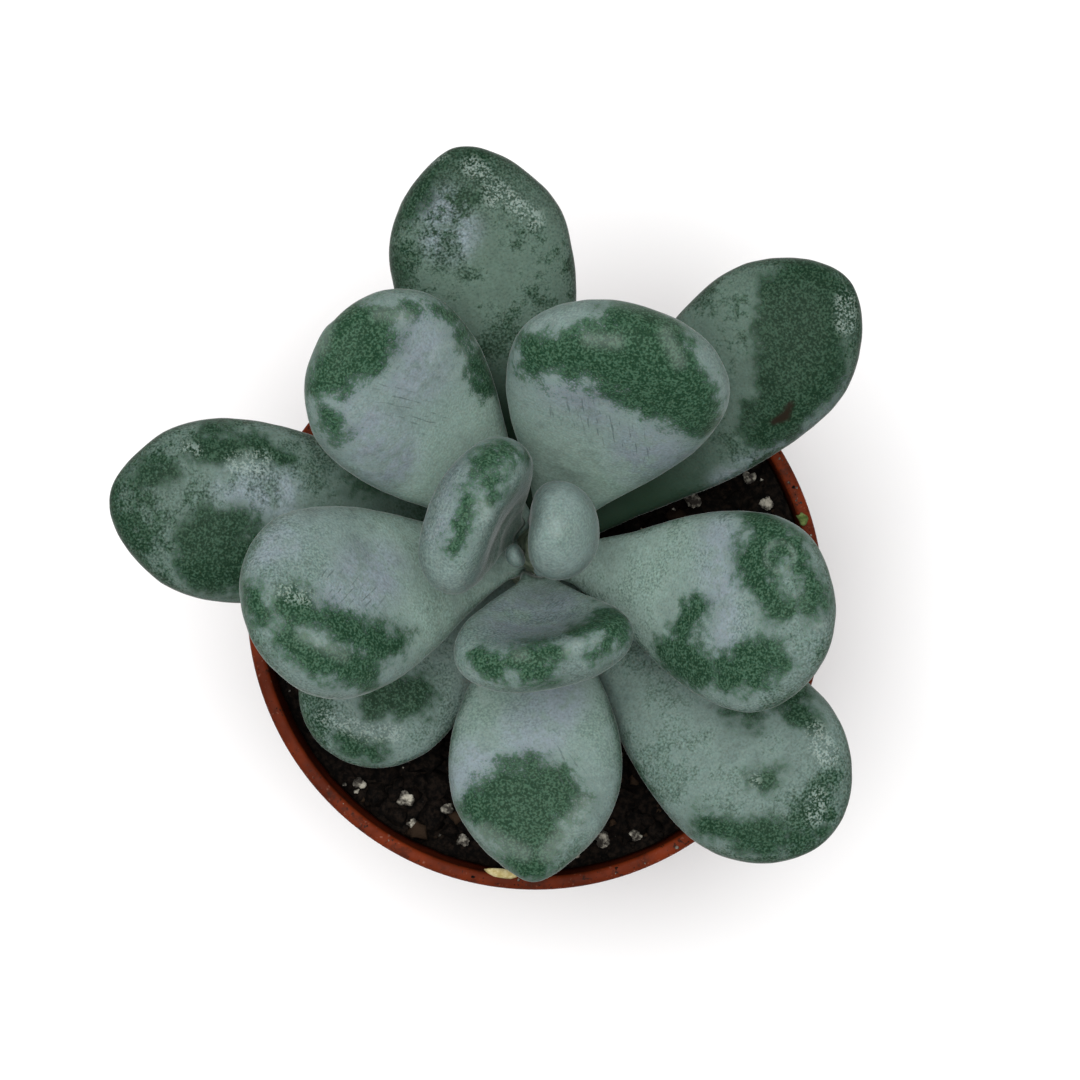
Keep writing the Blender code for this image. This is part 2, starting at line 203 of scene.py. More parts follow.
MARKS = {
    "outer_leaf_1": Marks(
        worn=(
            ((35.0, 1.0, 1.0), (33.2, 3.6, 1.0), (30.0, 6.0, 0.7)),
            ((26.0, 7.8, 0.3), (20.0, 8.2, 0.3)),
        ),
        powder=(
            ((33.0, -0.8, 0.9), (32.2, -1.6, 0.8)),
            ((30.6, -2.4, 0.9), (29.6, -2.1, 0.8)),
            ((30.4, -2.9, 0.7), (28.6, -4.2, 0.8), (27.0, -5.5, 0.9)),
            ((34.6, 1.5, 0.3), (34.2, 2.6, 0.3)),
        ),
        violet=(((29.5, 3.0, 2.0), (27.5, 2.4, 2.2)),),
        grit=0.95,
        age=1.0,
    ),
    "outer_leaf_2": Marks(
        worn=(
            ((32.5, 3.0, 2.2), (30.0, 1.0, 3.6), (28.0, -1.2, 3.9), (26.0, -3.5, 3.7)),
            ((26.0, -3.5, 3.7), (22.0, -4.9, 2.5), (19.6, -5.3, 1.5)),
        ),
        powder=(((33.4, -1.4, 0.9), (32.0, -3.0, 1.0)),),
        violet=(((28.0, -7.9, 1.0), (22.0, -7.9, 1.2), (14.0, -6.8, 1.2)),),
        scars=(((21.0, -5.3, 0.2), (22.2, -5.6, 0.4), (23.3, -5.1, 0.2)),),
        grit=0.6,
        age=0.95,
    ),
    "outer_leaf_3": Marks(
        worn=(
            ((24.6, 0.8, 1.6), (27.2, 2.2, 2.5), (26.6, 4.6, 2.4), (23.5, 4.0, 2.2)),
            ((28.0, -7.9, 0.5), (25.5, -7.6, 0.6), (23.5, -6.8, 0.55), (21.2, -6.1, 0.4)),
            ((29.3, -5.2, 0.6), (27.2, -6.1, 0.9), (25.8, -6.6, 0.7)),
            ((14.2, -5.3, 0.9), (12.2, -5.0, 0.9)),
            ((33.5, -2.6, 0.9), (31.0, -3.4, 0.6)),
        ),
        powder=(
            ((25.4, -4.9, 0.9), (23.2, -5.3, 1.1)),
            ((30.2, -5.9, 0.5), (29.0, -5.7, 0.5)),
        ),
        violet=(((25.0, -2.2, 1.6), (21.5, -2.8, 2.0)),),
        grit=0.85,
        age=0.75,
    ),
    "outer_leaf_4": Marks(
        worn=(
            ((21.2, 2.6, 1.1), (20.0, 4.0, 0.9)),
            ((16.0, 1.0, 1.6), (13.6, 2.4, 1.8)),
        ),
        powder=(((21.4, -1.4, 0.6), (20.6, 0.0, 0.7), (19.3, 2.2, 0.9), (17.0, 4.1, 0.9)),),
        grit=0.9,
        age=0.45,
    ),
    "outer_leaf_5": Marks(
        worn=(
            ((20.8, -6.4, 0.8), (19.7, -3.6, 2.2), (18.9, -1.2, 3.0), (18.9, 1.0, 2.6)),
            ((21.6, -1.0, 3.2), (24.0, -0.4, 2.4), (25.4, 0.0, 1.4)),
            ((20.4, 2.6, 0.8), (19.6, 4.0, 0.5)),
        ),
        violet=(
            ((10.5, 1.5, 2.6), (13.5, -0.5, 2.6)),
            ((16.5, -5.6, 2.0), (19.0, -6.6, 1.2)),
        ),
        scuffs=(((14.8, 1.8, 0.6), (16.6, 3.2, 1.2), (18.8, 4.4, 0.9)),),
        ridges_and_highlights=(
            ((24.4, 1.2, 1.0), (21.6, 3.6, 1.1), (19.6, 4.6, 0.9)),
            ((24.4, -0.8, 0.9), (23.6, -2.8, 1.0), (22.4, -4.6, 0.9)),
        ),
        grit=0.35,
        age=0.35,
    ),
    "outer_leaf_6": Marks(
        worn=(
            ((27.6, -5.4, 0.9), (29.4, -3.9, 1.4), (31.4, -2.7, 0.8), (33.0, 0.0, 0.2)),
            ((24.6, -6.8, 0.6), (27.6, -5.4, 0.9)),
            ((19.6, 7.4, 1.2), (22.0, 7.0, 1.5), (25.0, 6.6, 0.8)),
            ((25.6, -0.2, 0.6), (26.0, 0.8, 0.6)),
            ((20.8, 3.5, 0.8), (19.6, 3.1, 0.8)),
        ),
        powder=(
            ((24.7, -0.2, 0.35), (25.5, -1.0, 0.4)),
            ((26.2, 6.4, 1.1), (28.4, 5.6, 1.1)),
            ((30.6, 2.2, 0.9), (31.6, 0.8, 0.9)),
        ),
        grit=0.8,
        age=0.55,
    ),
    "middle_leaf_1": Marks(
        worn=(
            ((24.4, -1.4, 1.4), (22.6, -0.6, 2.4), (21.4, 1.4, 2.6), (20.4, 3.4, 1.8)),
            ((20.8, -1.6, 1.9), (19.4, -0.4, 1.4)),
            ((22.6, -2.8, 0.4), (21.6, -4.0, 0.4), (20.6, -5.2, 0.3)),
            ((22.8, 2.4, 0.7), (21.9, 4.0, 0.6), (20.6, 5.2, 0.4)),
            ((18.4, 6.2, 0.5), (16.6, 6.5, 0.5)),
            ((19.8, -7.2, 0.4), (17.6, -8.2, 0.4)),
            ((16.0, -8.0, 0.5), (11.0, -6.5, 0.8)),
        ),
        violet=(((17.0, -2.5, 3.0), (18.5, -5.5, 1.8)), ((17.5, 4.2, 1.6), (12.0, 4.6, 2.4))),
        scuffs=(((16.0, 1.0, 1.2), (11.5, -0.5, 1.2)),),
        ridges_and_highlights=(((22.0, -3.2, 0.8), (20.2, -4.9, 0.8)), ((24.0, 1.2, 0.8), (22.9, 2.6, 0.7))),
        drops=((15.0, -5.3, 1.4),),
        grit=0.3,
        age=0.12,
    ),
    "middle_leaf_2": Marks(
        worn=(
            ((12.2, 7.4, 1.7), (13.4, 5.0, 1.8), (14.6, 2.4, 2.6), (15.4, 0.2, 3.5)),
            ((15.4, 0.2, 3.5), (15.4, -2.6, 3.7), (14.8, -5.2, 2.9), (13.8, -7.8, 1.9)),
            ((18.0, 2.6, 1.3), (19.6, -0.4, 1.2), (18.4, -3.4, 1.1)),
        ),
        violet=(((11.0, 4.6, 1.4), (11.0, 0.6, 1.6)), ((8.5, -4.5, 2.4), (9.5, -8.0, 1.6))),
        scuffs=(((8.4, 4.0, 0.8), (9.8, 1.0, 1.5), (9.4, -1.2, 1.6), (8.7, -4.6, 1.2)),),
        ridges_and_highlights=(((15.4, 3.9, 0.8), (16.2, 1.6, 0.8)), ((18.7, -2.0, 0.7), (17.0, -4.2, 0.8))),
        grit=0.25,
        age=0.12,
    ),
    "middle_leaf_3": Marks(
        worn=(
            ((19.6, -1.0, 1.2), (17.6, 0.9, 0.9), (15.6, 2.3, 1.0), (13.8, 3.6, 1.0), (12.8, 4.6, 0.6)),
            ((20.6, 2.2, 0.9), (18.5, 4.0, 1.1), (16.2, 5.7, 1.3), (14.7, 6.6, 1.3)),
            ((22.3, -2.6, 0.8), (22.0, -0.6, 0.7)),
            ((12.3, 5.3, 0.6), (11.0, 5.0, 0.5)),
        ),
        powder=(((19.6, -2.0, 0.9), (17.6, -1.0, 0.8)),),
        violet=(((16.0, 0.5, 1.4), (12.0, -1.5, 2.6)), ((21.0, -4.6, 1.0), (19.0, -6.5, 1.6))),
        scuffs=(((16.0, -2.4, 1.4), (12.6, 0.6, 1.2)),),
        ridges_and_highlights=(((18.8, 2.2, 0.8), (17.4, 3.5, 0.8), (16.0, 4.8, 0.8)),),
        grit=0.55,
        age=0.2,
    ),
    "middle_leaf_4": Marks(
        worn=(
            ((14.8, 8.2, 1.0), (16.4, 7.7, 1.0), (18.9, 6.3, 0.7), (20.8, 4.3, 0.8), (21.6, 2.0, 1.0)),
            ((18.8, -3.6, 1.8), (16.6, -5.6, 1.6)),
            ((13.4, -6.4, 1.4), (11.2, -5.6, 1.6)),
            ((11.9, -1.0, 0.7), (11.2, -3.2, 0.8)),
            ((15.2, 5.2, 1.4), (17.0, 2.6, 1.2), (18.6, 1.2, 1.2)),
        ),
        violet=(((12.0, 6.0, 1.3), (12.9, 2.0, 1.3), (14.1, 0.0, 1.2), (15.0, -2.6, 1.0)),),
        ridges_and_highlights=(((23.0, 0.9, 0.5), (22.6, 0.6, 0.5)),),
        drops=((17.5, 5.7, 1.3),),
        grit=0.75,
        age=0.3,
    ),
    "inner_leaf_1": Marks(
        worn=(
            ((4.2, -5.4, 0.7), (4.8, -4.2, 0.8), (4.6, -3.4, 0.7), (3.4, -3.0, 0.5), (2.5, -2.4, 0.3)),
            ((3.8, -5.9, 0.35), (2.2, -6.4, 0.4), (1.0, -6.6, 0.4)),
            ((4.9, -1.4, 0.5), (4.2, -0.4, 0.4), (3.8, 1.4, 0.4), (3.6, 3.2, 0.4)),
        ),
        violet=(((6.0, -2.0, 1.6), (6.0, 2.0, 1.6)),),
        ridges_and_highlights=(((2.9, -1.1, 0.7), (2.3, -0.4, 0.7)),),
        grit=0.5,
        age=0.15,
    ),
    "inner_leaf_2": Marks(
        ridges_and_highlights=(((0.6, -0.6, 0.8), (0.6, 0.4, 0.8)),),
        grit=0.15,
        age=0.05,
    ),
    "inner_leaf_3": Marks(
        worn=(
            ((4.7, 2.8, 0.4), (3.9, 5.0, 0.6), (3.7, 6.8, 0.9), (5.2, 6.2, 0.8)),
            ((6.0, -6.0, 0.6), (6.8, -4.5, 0.9), (6.9, -2.6, 0.8), (6.4, -0.2, 0.9), (6.2, 1.0, 0.6)),
            ((7.9, -2.0, 0.5), (8.0, 0.0, 0.6)),
            ((6.9, 4.0, 0.4), (6.4, 5.2, 0.5)),
        ),
        violet=(((3.0, -3.0, 2.2), (3.0, 2.0, 2.0)),),
        ridges_and_highlights=(((6.3, 1.9, 0.6), (5.7, 2.9, 0.6)), ((6.2, -2.0, 0.6), (6.2, -2.6, 0.6))),
        grit=0.55,
        age=0.15,
    ),
    "bud_leaf_1": Marks(grit=0.1, age=0.0),
    "bud_leaf_2": Marks(grit=0.1, age=0.0),
}


def blend(start, end, share):
    return start + (end - start) * share


def smooth_step(value, low, high):
    share = np.clip((value - low) / (high - low), 0, 1)
    return share * share * (3 - 2 * share)


# ---------------------------------------------------------------- meshes


def add_piece(name, vertices, faces, surface, stands_for=()):
    """Makes a smooth-shaded mesh object that rides on the body."""
    mesh = bpy.data.meshes.new(name)
    mesh.from_pydata([tuple(vertex) for vertex in vertices], [], faces)
    mesh.validate()
    mesh.shade_smooth()
    mesh.materials.append(surface)
    piece = bpy.data.objects.new(name, mesh)
    bpy.context.scene.collection.objects.link(piece)
    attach(piece, "root")
    if stands_for:
        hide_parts(*stands_for)
    return piece


def set_attribute(mesh, name, values):
    """Stores one number, or one vector, for each vertex."""
    values = np.asarray(values, np.float32)
    kind, field = ("FLOAT", "value") if values.ndim == 1 else ("FLOAT_VECTOR", "vector")
    mesh.attributes.new(name, kind, "POINT").data.foreach_set(field, values.ravel())


def ring_faces(rings, segments, closed_start, pole):
    """Quads between rings of vertices, an end cap and a fan to a pole that comes last."""
    faces = []
    for ring in range(rings - 1):
        for i in range(segments):
            j = (i + 1) % segments
            low, high = ring * segments, (ring + 1) * segments
            faces.append((low + i, low + j, high + j, high + i))
    if closed_start:
        faces.append(tuple(reversed(range(segments))))
    last = (rings - 1) * segments
    if pole:
        tip = rings * segments
        faces.extend((last + i, last + (i + 1) % segments, tip) for i in range(segments))
    return faces


def turn_outward(mesh):
    work = bmesh.new()
    work.from_mesh(mesh)
    bmesh.ops.recalc_face_normals(work, faces=work.faces)
    work.to_mesh(mesh)
    work.free()


# ---------------------------------------------------------------- shader graphs


class Shader:
    """A material whose node graph grows by calls that take and return sockets."""

    def __init__(self, name, **constants):
        self.material = bpy.data.materials.new(name)
        self.material.use_nodes = True
        self.tree = self.material.node_tree
        self.surface = self.tree.nodes["Principled BSDF"]
        for socket, value in constants.items():
            self.surface.inputs[socket.replace("_", " ")].default_value = value

    def node(self, kind, inputs, **settings):
        made = self.tree.nodes.new("ShaderNode" + kind)
        for name, value in settings.items():
            setattr(made, name, value)
        for key, value in inputs.items():
            self.plug(made.inputs[key], value)
        return made

    def plug(self, socket, value):
        if isinstance(value, bpy.types.NodeSocket):
            self.tree.links.new(value, socket)
        else:
            socket.default_value = value

    def drive(self, socket, value):
        self.plug(self.surface.inputs[socket], value)

    def attribute(self, name):
        return self.node("Attribute", {}, attribute_name=name).outputs["Fac"]

    def place(self, name):
        return self.node("Attribute", {}, attribute_name=name).outputs["Vector"]

    def millimetres(self, stretch=(1, 1, 1)):
        """Position on the object in millimetres, stretched along each axis."""
        here = self.node("TexCoord", {}).outputs["Object"]
        scale = [factor / MM for factor in stretch]
        return self.node("VectorMath", {0: here, 1: scale}, operation="MULTIPLY").outputs[0]

    def noise(self, at, per_mm, detail=2.0, roughness=0.5):
        sockets = {"Vector": at, "Scale": per_mm, "Detail": detail, "Roughness": roughness}
        return self.node("TexNoise", sockets).outputs[0]

    def turned(self, at, along, across):
        """Places measured along two directions, each given with its stretch."""
        rows = [
            self.node("VectorMath", {0: at, 1: (*row, 0)}, operation="DOT_PRODUCT").outputs["Value"]
            for row in (along, across)
        ]
        return self.node("CombineXYZ", {0: rows[0], 1: rows[1]}).outputs[0]

    def math(self, operation, a, b=0.0):
        return self.node("Math", {0: a, 1: b}, operation=operation).outputs[0]

    def total(self, first, *others):
        for other in others:
            first = self.math("ADD", first, other)
        return first

    def product(self, first, *others):
        for other in others:
            first = self.math("MULTIPLY", first, other)
        return first

    def ease(self, value, low, high, start=0.0, end=1.0):
        sockets = {"Value": value, "From Min": low, "From Max": high, "To Min": start, "To Max": end}
        return self.node("MapRange", sockets, interpolation_type="SMOOTHSTEP").outputs[0]

    def spread(self, value, factor):
        """A noise value's difference from its middle, times a factor."""
        return self.math("MULTIPLY", self.math("SUBTRACT", value, 0.5), factor)

    def mix(self, share, a, b):
        a, b = ((*colour, 1) if isinstance(colour, tuple) else colour for colour in (a, b))
        return self.node("Mix", {0: share, 6: a, 7: b}, data_type="RGBA").outputs[2]

    def brightness(self, colour, factor):
        return self.node("VectorMath", {0: colour, "Scale": factor}, operation="SCALE").outputs[0]

    def bump(self, height, depth, strength=1.0):
        sockets = {"Height": height, "Distance": depth, "Strength": strength}
        self.drive("Normal", self.node("Bump", sockets).outputs[0])


# ---------------------------------------------------------------- leaf material

YOUNG_BLOOM = (0.196, 0.262, 0.250)
OLD_BLOOM = (0.090, 0.138, 0.110)
VIOLET_BLOOM = (0.212, 0.258, 0.282)
PAINTED_LIGHT_MINT = (0.270, 0.375, 0.315)
POWDER_AND_HIGHLIGHT = (0.36, 0.43, 0.40)
DEEP_GREEN = (0.010, 0.036, 0.017)
MID_GREEN = (0.050, 0.108, 0.066)
SHADED_BASE_GREEN = (0.018, 0.038, 0.023)
TICK = (0.060, 0.085, 0.078)
SCAR = (0.014, 0.010, 0.006)
SCRATCH_ALONG = (0.55, 0.42)
SCRATCH_ACROSS = (-2.4, 3.2)


class Grains(NamedTuple):
    """Noise patterns of four sizes, from 0.2 mm to 5 mm."""

    fine: object
    grain: object
    patch: object
    cloud: object


def bare_and_shade_share(skin, grains):
    """How far the bloom has come off, plus painted shade: rubbed patches, thin clouds and specks, tips that
    are partly worn and partly painted shade, and painted shade on steep sides.
    """
    fine, grain, patch, cloud = grains
    age = skin.attribute("age")
    ragged = skin.total(skin.spread(patch, 4.6), skin.spread(grain, 3.2), skin.spread(fine, 3.6))
    rubbed = skin.ease(skin.total(skin.attribute("worn"), ragged), -1.9, 0.7)
    haze = skin.ease(skin.total(cloud, skin.spread(grain, 0.5)), 0.44, 0.64)
    # painted shade: the bloom thins to darker green at the tips, partly real wear there, and on steep sides
    # that turn away from the overhead light
    tip_wear_and_shade = skin.ease(skin.attribute("reach"), 0.70, 1.0)
    limb_shade = skin.attribute("steep_side_shade")
    thin_and_shade = skin.total(*(skin.product(wear, 0.50) for wear in (haze, tip_wear_and_shade, limb_shade)))
    thin_and_shade = skin.product(thin_and_shade, skin.total(age, 0.40))
    speckle = skin.product(skin.spread(fine, -1.1), skin.attribute("grit"))
    return skin.ease(skin.total(skin.math("MAXIMUM", rubbed, thin_and_shade), speckle), 0.0, 1.0)


def bloom_colour(skin, grains):
    """Blue-green wax, lavender in places, and at a young leaf's base a pale mint that is painted light
    lifting the shade there.
    """
    age, reach = skin.attribute("age"), skin.attribute("reach")
    bloom = skin.mix(age, YOUNG_BLOOM, OLD_BLOOM)
    youth = skin.ease(age, 0.0, 0.6, 0.75, 0.0)
    # painted light: young leaf bases are lifted to pale mint where they lie in shade
    bloom = skin.mix(skin.product(skin.ease(reach, 0.72, 0.34), youth), bloom, PAINTED_LIGHT_MINT)
    blotches = skin.ease(skin.total(grains.patch, skin.spread(grains.grain, 0.6)), 0.34, 0.58, 0.2, 1.0)
    bloom = skin.mix(skin.product(skin.attribute("violet"), blotches), bloom, VIOLET_BLOOM)
    tone = skin.total(
        skin.spread(grains.cloud, 1.1), skin.spread(grains.grain, 0.7), skin.spread(grains.fine, 0.6)
    )
    return skin.brightness(bloom, skin.total(tone, 1.0))


def green_colour(skin, grains):
    """The bare skin, with the lightest grains where a little wax is left."""
    light = skin.total(grains.fine, skin.spread(grains.grain, 0.5))
    green = skin.mix(skin.ease(light, 0.40, 0.66), DEEP_GREEN, MID_GREEN)
    return skin.brightness(green, skin.ease(skin.attribute("age"), 0.0, 1.0, 1.0, 0.62))


def marked_colour(skin, grains, colour):
    """Adds folds with a painted highlight, white wax, dried drops, scratches, scars and the painted shade
    that darkens the base of old leaves.
    """
    # painted highlight: ridge marks are mixed towards pale wax colour
    colour = skin.mix(skin.product(skin.attribute("ridge_and_highlight"), 0.16), colour, POWDER_AND_HIGHLIGHT)
    clusters = skin.ease(skin.total(grains.fine, skin.spread(grains.grain, 1.0)), 0.44, 0.66)
    colour = skin.mix(skin.product(skin.attribute("powder"), clusters, 0.42), colour, POWDER_AND_HIGHLIGHT)
    broken = skin.ease(grains.grain, 0.40, 0.60, 0.2, 1.0)
    colour = skin.mix(skin.product(skin.attribute("drop"), broken, 0.18), colour, POWDER_AND_HIGHLIGHT)
    slanted = skin.turned(skin.place("plan_mm"), SCRATCH_ALONG, SCRATCH_ACROSS)
    scratches = skin.ease(skin.noise(slanted, 1.0, 1.0), 0.58, 0.70)
    colour = skin.mix(skin.product(scratches, skin.attribute("scuff"), 0.6), colour, TICK)
    colour = skin.mix(skin.attribute("scar"), colour, SCAR)
    # painted shade: old leaves darken to deep green towards the base, less where lavender wax lies
    shade = skin.ease(skin.attribute("reach"), 0.60, 0.22)
    elder = skin.ease(skin.attribute("age"), 0.40, 1.0)
    unwaxed = skin.ease(skin.attribute("violet"), 0.0, 1.0, 1.0, 0.0)
    return skin.mix(skin.product(shade, elder, unwaxed), colour, SHADED_BASE_GREEN)


def leaf_material():
    """Wax bloom over green skin, rubbed off in patches with grainy edges."""
    skin = Shader(
        "leaf_bloom",
        Specular_IOR_Level=0.07,
        Sheen_Weight=0.22,
        Sheen_Roughness=0.15,
        Subsurface_Weight=0.12,
        Subsurface_Scale=1.0 * MM,
    )
    here = skin.place("leaf_mm")
    grains = Grains(
        fine=skin.noise(here, 4.6, 2.0),
        grain=skin.noise(here, 1.3, 5.0, 0.7),
        patch=skin.noise(here, 0.45, 4.0, 0.6),
        cloud=skin.noise(here, 0.20, 4.0, 0.6),
    )
    bare_and_shade = bare_and_shade_share(skin, grains)
    colour = skin.mix(bare_and_shade, bloom_colour(skin, grains), green_colour(skin, grains))
    skin.drive("Base Color", marked_colour(skin, grains, colour))
    skin.drive("Roughness", skin.ease(bare_and_shade, 0.0, 1.0, 0.60, 0.52))
    skin.bump(skin.total(grains.fine, skin.product(grains.grain, 0.6)), 0.09 * MM, 0.4)
    return skin.material


# ---------------------------------------------------------------- leaves


def stem_share(height):
    return (height - STEM_FOOT.z) / (STEM_TIP.z - STEM_FOOT.z)


def stem_radius(height):
    return STEM_FOOT_RADIUS * (1 - (1 - STEM_TAPER) * stem_share(height) ** 2)


def leaf_outline(share, belly, neck, point):
    if share < belly:
        return blend(neck, 1, math.sin(share / belly * math.pi / 2) ** 1.35)
    beyond = (share - belly) / (1 - belly)
    return math.sqrt(1 - beyond**2) * (1 - TIP_TAPER * point * beyond**3)


def leaf_direction(leaf, share):
    heading = math.radians(leaf.azimuth + leaf.swing * share)
    slope = math.radians(leaf.pitch + leaf.curl * share)
    level = Vector((math.cos(heading), math.sin(heading), 0))
    return level * math.cos(slope) + Vector((0, 0, math.sin(slope))), heading


def leaf_frame(leaf, share):
    """Centre, side and up vectors of a leaf at a share of its length."""
    height = leaf.height * MM
    azimuth = math.radians(leaf.azimuth)
    neck_rise = UPPER_SHARE * NECK_DEPTH * leaf.thickness * MM * math.sin(math.radians(leaf.pitch))
    reach = stem_radius(height) + LEAF_GAP + neck_rise
    centre = STEM_FOOT.lerp(STEM_TIP, stem_share(height))
    centre += Vector((math.cos(azimuth), math.sin(azimuth), 0)) * reach
    for i in range(LEAF_STEPS):
        step, _ = leaf_direction(leaf, share * (i + 0.5) / LEAF_STEPS)
        centre += step * (leaf.length * MM * share / LEAF_STEPS)
    forward, heading = leaf_direction(leaf, share)
    side = Vector((-math.sin(heading), math.cos(heading), 0))
    side.rotate(Matrix.Rotation(math.radians(leaf.roll), 3, forward))
    return centre, side, forward.cross(side)


def section_lift(leaf, share, across, turn):
    """Height of a cross-section over its midline, as a share of the leaf's thickness."""
    hollow = leaf.cup * (1 - share**4) * (1 - across**2) ** 2
    above = UPPER_SHARE * (np.maximum(turn, 0) ** 0.85 - hollow)
    return np.where(turn <= 0, turn * (1 - UPPER_SHARE), above)


def leaf_section(leaf, share):
    """One ring of points, and where each lies in the leaf's own frame, in millimetres."""
    angle = np.linspace(0, 2 * math.pi, LEAF_SEGMENTS, endpoint=False)
    cosine = np.cos(angle)
    across = np.sign(cosine) * np.abs(cosine) ** 0.9
    inset = 2 * SKIN_INSET / MM
    half_width = 0.5 * (leaf.width - inset) * leaf_outline(share, leaf.belly, NECK_WIDTH, leaf.point)
    depth = (leaf.thickness - inset) * leaf_outline(share, leaf.belly - 0.06, NECK_DEPTH, leaf.point / 2)
    sideways = half_width * across
    lifted = depth * section_lift(leaf, share, across, np.sin(angle))
    centre, side, up = (np.array(part) for part in leaf_frame(leaf, share))
    points = centre + MM * (np.outer(sideways, side) + np.outer(lifted, up))
    inner = np.column_stack((sideways, np.full(LEAF_SEGMENTS, share * leaf.length), lifted))
    return points, inner


def leaf_plan(leaf, points):
    """Level (along, left) places of points, in millimetres from the leaf's base."""
    base, _, _ = leaf_frame(leaf, 0.0)
    tip, _, _ = leaf_frame(leaf, 1.0)
    forward = np.array((tip - base).to_2d().normalized())
    level = (points[:, :2] - np.array(base.to_2d())) / MM
    return np.column_stack((level @ forward, level @ (-forward[1], forward[0])))


def depth_inside(places, lines):
    """How deep each place lies inside the nearest of some round-ended lines, in millimetres."""
    depth = np.full(len(places), UNWORN)
    for line in lines:
        for start, end in zip(line, line[1:]):
            start, end = np.array(start), np.array(end)
            run = end[:2] - start[:2]
            share = np.clip((places - start[:2]) @ run / (run @ run), 0, 1)
            offset = places - start[:2] - np.outer(share, run)
            radius = blend(start[2], end[2], share)
            depth = np.maximum(depth, radius - np.linalg.norm(offset, axis=1))
    return depth


def near_circles(places, circles):
    """1 on the nearest of some (along, left, radius) circles, falling to 0 off it."""
    nearness = np.zeros(len(places))
    for along, left, radius in circles:
        off = np.abs(np.linalg.norm(places - (along, left), axis=1) - radius)
        nearness = np.maximum(nearness, 1 - smooth_step(off, 0.1, 0.45))
    return nearness


def rolling(points, size, seed):
    """Gentle noise at each point, about -1 to 1."""
    shift = Vector((seed * 3.7, seed * 1.3, seed * 2.1))
    return np.array([noise.noise(Vector(point) / (size * MM) + shift) for point in points])


def leaf_mesh(leaf):
    """Points, places in the leaf's own frame, shares of its length, and faces."""
    shares = [math.sin(i / LEAF_RINGS * math.pi / 2) ** 1.2 for i in range(LEAF_RINGS)]
    sections = [leaf_section(leaf, share) for share in shares]
    root_step = np.array(leaf_direction(leaf, 0.0)[0]) * LEAF_ROOT
    sections.insert(0, (sections[0][0] - root_step, sections[0][1]))
    tip = np.array(leaf_frame(leaf, 1.0)[0])
    points = np.vstack([part[0] for part in sections] + [tip])
    inner = np.vstack([part[1] for part in sections] + [(0, leaf.length, 0)])
    reach = np.append(np.repeat([0.0] + shares, LEAF_SEGMENTS), 1.0)
    faces = ring_faces(len(sections), LEAF_SEGMENTS, closed_start=True, pole=True)
    return points, inner, reach, faces


def mark_strengths(marks, places, facing_up, hidden):
    """The strength of each kind of mark at each place, by attribute name."""
    worn = blend(hidden, depth_inside(places, marks.worn), facing_up)
    return {
        "worn": np.maximum(worn, UNWORN),
        "powder": smooth_step(depth_inside(places, marks.powder), -0.5, 0.5) * facing_up,
        # ridge marks raise a real fold and also carry a painted highlight in the leaf colour
        "ridge_and_highlight": smooth_step(depth_inside(places, marks.ridges_and_highlights), -0.4, 0.8) * facing_up,
        "violet": smooth_step(depth_inside(places, marks.violet), -1.8, 1.2),
        "scuff": smooth_step(depth_inside(places, marks.scuffs), -1.0, 0.8) * facing_up,
        "scar": smooth_step(depth_inside(places, marks.scars), -0.25, 0.1) * facing_up,
        "drop": near_circles(places, marks.drops) * facing_up,
    }


def make_leaf(leaf, seed, surface):
    marks = MARKS[leaf.name]
    points, inner, reach, faces = leaf_mesh(leaf)
    piece = add_piece(leaf.name + "_skin", points, faces, surface, [leaf.name])
    turn_outward(piece.data)
    normals = np.array([vertex.normal for vertex in piece.data.vertices])
    places = leaf_plan(leaf, points)
    facing_up = smooth_step(normals[:, 2], -0.15, 0.25)
    hidden = HIDDEN_SPREAD * rolling(points, HIDDEN_PATCH, seed + 9) - HIDDEN_SHORTFALL
    strengths = mark_strengths(marks, places, facing_up, hidden)
    lumps = LUMP_RELIEF * rolling(points, LUMP_SIZE, seed)
    lumps += DIMPLE_RELIEF * rolling(points, DIMPLE_SIZE, seed + 5)
    lumps *= min(1.0, leaf.width / SMALL_LEAF)
    raised = (lumps + RIDGE_RELIEF * strengths["ridge_and_highlight"]) * MM
    moved = points + normals * raised[:, None]
    piece.data.vertices.foreach_set("co", moved.astype(np.float32).ravel())
    for name, values in strengths.items():
        set_attribute(piece.data, name, values)
    set_attribute(piece.data, "leaf_mm", inner + PATTERN_SHIFT * seed)
    set_attribute(piece.data, "plan_mm", np.column_stack((places, np.zeros(len(places)))))
    set_attribute(piece.data, "reach", reach)
    # painted shade: marks the steep sides where the bloom is thinned to darker green
    set_attribute(piece.data, "steep_side_shade", 1 - smooth_step(normals[:, 2], 0.15, 0.80))
    set_attribute(piece.data, "grit", np.full(len(points), marks.grit))
    set_attribute(piece.data, "age", np.full(len(points), marks.age))


# ---------------------------------------------------------------- stem


def make_stem(surface):
    rings = []
    for i in range(STEM_RINGS):
        share = i / (STEM_RINGS - 1)
        height = blend(STEM_FOOT.z, STEM_TIP.z, share)
        centre = STEM_FOOT.lerp(STEM_TIP, share)
        for j in range(STEM_SEGMENTS):
            turn = 2 * math.pi * j / STEM_SEGMENTS
            outward = Vector((math.cos(turn), math.sin(turn), 0))
            scar = noise.noise((centre + outward * STEM_FOOT_RADIUS) / BARK_LUMP)
            radius = stem_radius(height) + BARK_RELIEF * scar
            rings.append(centre + outward * radius)
    rings.append(STEM_TIP + Vector((0, 0, STEM_CROWN)))
    faces = ring_faces(STEM_RINGS, STEM_SEGMENTS, closed_start=True, pole=True)
    piece = add_piece("stem_bark", rings, faces, surface, ["stem"])
    turn_outward(piece.data)


